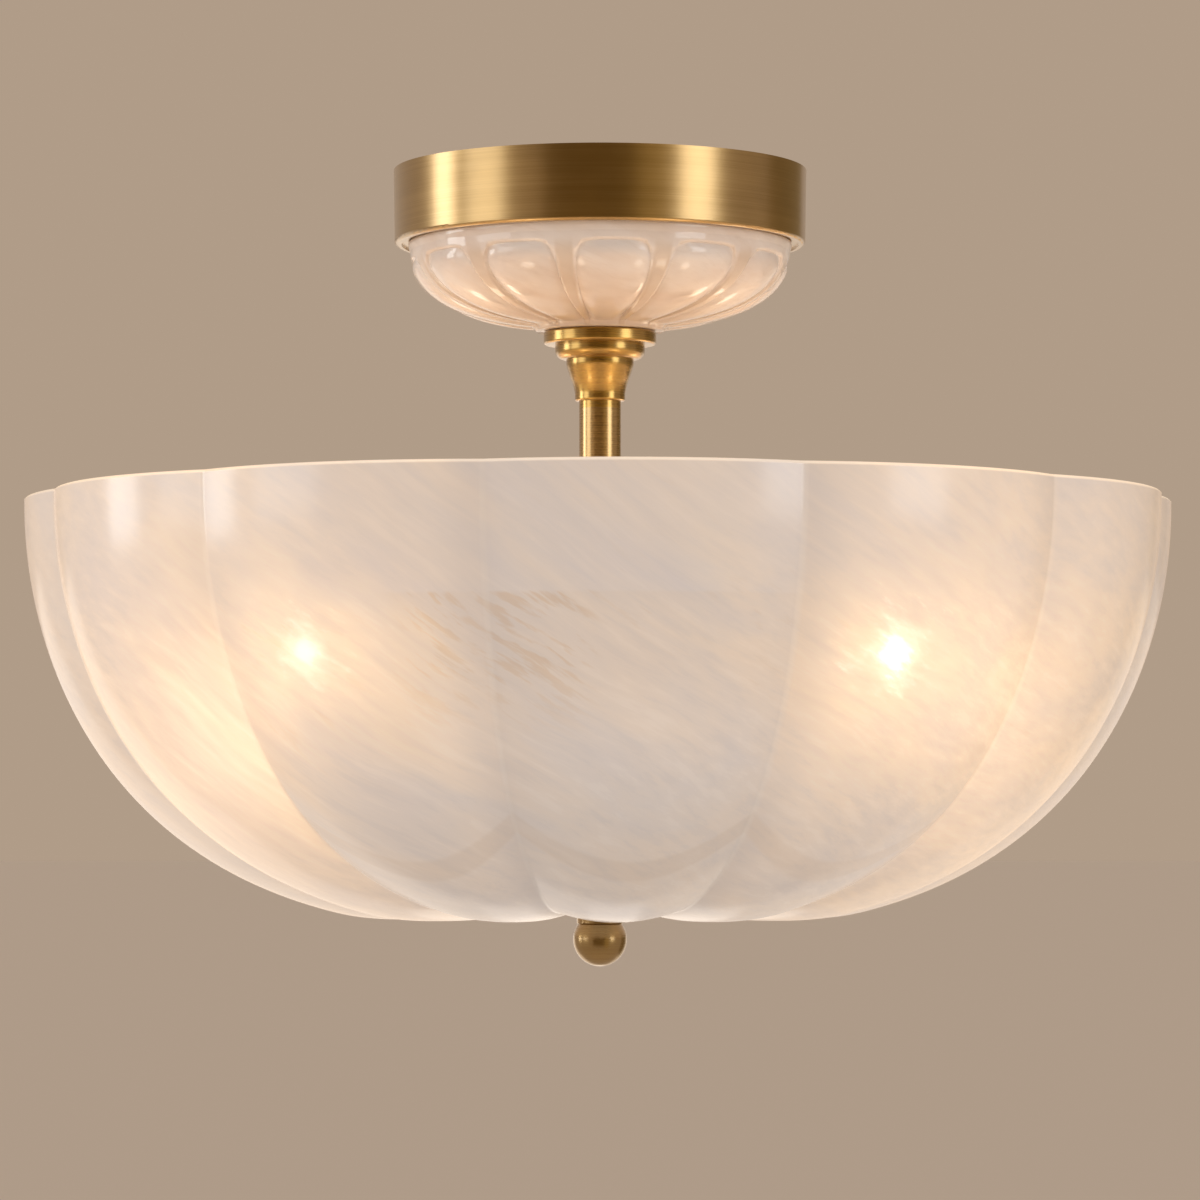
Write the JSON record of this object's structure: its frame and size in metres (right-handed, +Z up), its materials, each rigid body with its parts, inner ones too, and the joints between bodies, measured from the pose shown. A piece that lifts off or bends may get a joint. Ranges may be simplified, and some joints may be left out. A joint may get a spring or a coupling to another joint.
{
  "type": "semi-flush bowl ceiling light",
  "caption": "Semi-flush ceiling light: fluted stone bowl hung from a brass stem, with a brass canopy ring over a fluted stone dish and a ball finial below.",
  "frame": {"origin": "on the ceiling plane, centred on the stem's axis and between the strap's two slots", "axes": "+Z up into the ceiling along the stem, -Y to the front of the picture, strap along X"},
  "size_m": [0.5992, 0.5992, 0.429],
  "materials": {
    "brass": "satin, brushed round",
    "stone": "polished, veined",
    "steel": "zinc plated",
    "green_screw": "gloss",
    "rubber": "matt",
    "terminal_plastic": "moulded",
    "lead_insulation": "moulded",
    "porcelain": "glazed",
    "shell_brass": "drawn",
    "cap_metal": "rolled",
    "contact_solder": "dull",
    "frosted_glass": "frosted"
  },
  "bodies": {
    "mounting": {"ceiling_strap": "steel", "ground_screw": "green_screw", "threaded_nipple": "steel", "nipple_lock_nuts": "steel", "stem_tube": "brass", "stem_top_coupling": "brass", "stem_bottom_coupling": "steel", "stem_lock_nut": "steel", "lamp_hub": "brass", "hub_cover": "brass", "hub_screws": "steel", "arm_lock_nuts": "steel", "terminal_block": "terminal_plastic", "supply_leads": "lead_insulation", "socket_leads": "lead_insulation", "socket_contacts": "shell_brass", "hanging_rod": "steel", "rod_nuts": "steel", "steel_washer": "steel", "upper_rubber_washer": "rubber", "arm_1": "brass", "socket_cup_1": "brass", "socket_porcelain_1": "porcelain", "screw_shell_1": "shell_brass", "arm_2": "brass", "socket_cup_2": "brass", "socket_porcelain_2": "porcelain", "screw_shell_2": "shell_brass", "arm_3": "brass", "socket_cup_3": "brass", "socket_porcelain_3": "porcelain", "screw_shell_3": "shell_brass", "arm_4": "brass", "socket_cup_4": "brass", "socket_porcelain_4": "porcelain", "screw_shell_4": "shell_brass"},
    "canopy": {"canopy_ring": "brass", "dish_gasket": "rubber", "canopy_dish": "stone", "collar_pad": "rubber", "collar_disc": "brass", "collar_bead": "brass", "collar_bell": "brass", "collar_grub_screws": "steel"},
    "bowl_seat": {"cup_washer": "brass", "lower_rubber_washer": "rubber"},
    "bowl": {"stone_bowl": "stone"},
    "finial": {"ball_finial": "brass"},
    "bulb_contact_1": {"bulb_tip_1": "contact_solder"},
    "bulb_1": {"bulb_cap_1": "cap_metal", "bulb_glass_1": "frosted_glass"},
    "bulb_contact_2": {"bulb_tip_2": "contact_solder"},
    "bulb_2": {"bulb_cap_2": "cap_metal", "bulb_glass_2": "frosted_glass"},
    "bulb_contact_3": {"bulb_tip_3": "contact_solder"},
    "bulb_3": {"bulb_cap_3": "cap_metal", "bulb_glass_3": "frosted_glass"},
    "bulb_contact_4": {"bulb_tip_4": "contact_solder"},
    "bulb_4": {"bulb_cap_4": "cap_metal", "bulb_glass_4": "frosted_glass"}
  },
  "joints": [
    {"name": "canopy_drop", "type": "slide", "parent": "mounting", "child": "canopy", "axis": [0, 0, -1], "range_m": [0, 0.115]},
    {"name": "bowl_lower", "type": "slide", "parent": "mounting", "child": "bowl_seat", "axis": [0, 0, -1], "range_m": [0, 0.0131]},
    {"name": "bowl_turn", "type": "hinge", "parent": "bowl_seat", "child": "bowl", "pos_m": [0, 0, -0.3855], "axis": [0, 0, 1], "continuous": true},
    {"name": "finial_turn", "type": "hinge", "parent": "bowl_seat", "child": "finial", "pos_m": [0, 0, -0.403], "axis": [0, 0, -1], "range_deg": [0, 5040]},
    {"name": "bulb_1_draw", "type": "slide", "parent": "mounting", "child": "bulb_contact_1", "axis": [0.7071, 0.7071, 0], "range_m": [0, 0.0181]},
    {"name": "bulb_1_turn", "type": "hinge", "parent": "bulb_contact_1", "child": "bulb_1", "pos_m": [0, 0, -0.259], "axis": [0.7071, 0.7071, 0], "range_deg": [0, 1800]},
    {"name": "bulb_2_draw", "type": "slide", "parent": "mounting", "child": "bulb_contact_2", "axis": [-0.7071, 0.7071, 0], "range_m": [0, 0.0181]},
    {"name": "bulb_2_turn", "type": "hinge", "parent": "bulb_contact_2", "child": "bulb_2", "pos_m": [0, 0, -0.259], "axis": [-0.7071, 0.7071, 0], "range_deg": [0, 1800]},
    {"name": "bulb_3_draw", "type": "slide", "parent": "mounting", "child": "bulb_contact_3", "axis": [-0.7071, -0.7071, 0], "range_m": [0, 0.0181]},
    {"name": "bulb_3_turn", "type": "hinge", "parent": "bulb_contact_3", "child": "bulb_3", "pos_m": [0, 0, -0.259], "axis": [-0.7071, -0.7071, 0], "range_deg": [0, 1800]},
    {"name": "bulb_4_draw", "type": "slide", "parent": "mounting", "child": "bulb_contact_4", "axis": [0.7071, -0.7071, 0], "range_m": [0, 0.0181]},
    {"name": "bulb_4_turn", "type": "hinge", "parent": "bulb_contact_4", "child": "bulb_4", "pos_m": [0, 0, -0.259], "axis": [0.7071, -0.7071, 0], "range_deg": [0, 1800]}
  ],
  "couplings": [
    {"joint": "finial_turn", "follows": "bowl_lower", "rad_per_m": 6679},
    {"joint": "bulb_1_turn", "follows": "bulb_1_draw", "rad_per_m": 1731.6},
    {"joint": "bulb_2_turn", "follows": "bulb_2_draw", "rad_per_m": 1731.6},
    {"joint": "bulb_3_turn", "follows": "bulb_3_draw", "rad_per_m": 1731.6},
    {"joint": "bulb_4_turn", "follows": "bulb_4_draw", "rad_per_m": 1731.6}
  ]
}
